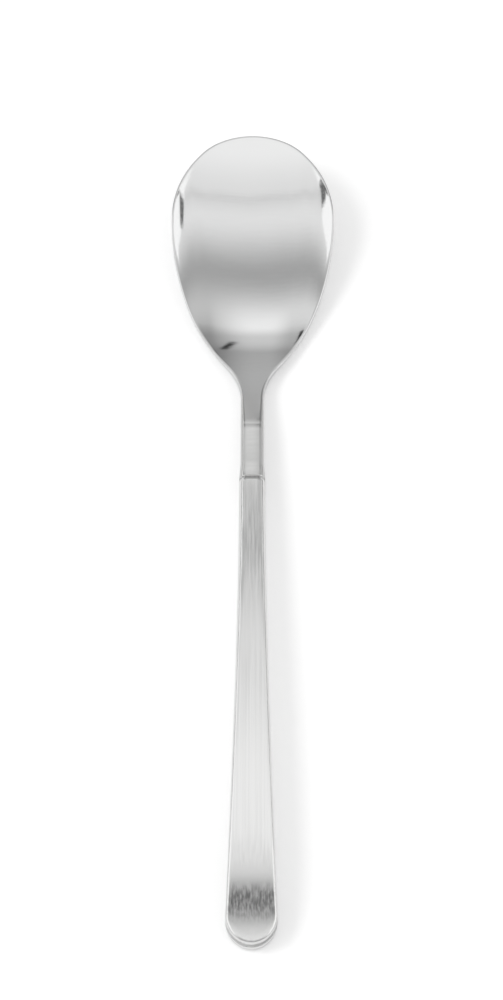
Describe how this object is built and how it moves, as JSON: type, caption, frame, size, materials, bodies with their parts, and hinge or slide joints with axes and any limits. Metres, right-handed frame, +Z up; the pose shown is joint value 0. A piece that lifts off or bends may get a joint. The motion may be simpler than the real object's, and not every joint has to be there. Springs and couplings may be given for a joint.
{
  "type": "serving spoon",
  "caption": "Long stainless serving spoon: deep oval bowl, slim round stem and a hollow satin handle that widens and flattens to a round end.",
  "frame": {"origin": "middle of the spoon's length and width, on the surface that it lies on", "axes": "+Y along the spoon from the handle's tip to the nose of the bowl, +Z up out of the open bowl, +X to the right seen from the handle"},
  "size_m": [0.0602, 0.318, 0.0219],
  "materials": {
    "polished_steel": "mirror-polished stainless steel",
    "satin_steel": "stainless steel brushed along its length",
    "ground_weld": "weld bead ground flush and brushed with the shells",
    "braze": "thin dark brazed line",
    "potting": "matt hardened cement, hidden"
  },
  "bodies": {
    "root": {"spoon_head": "polished_steel", "handle_top_shell": "satin_steel", "handle_bottom_shell": "satin_steel", "seam_weld": "ground_weld", "mouth_braze_ring": "braze", "tang_cement": "potting"}
  },
  "joints": []
}
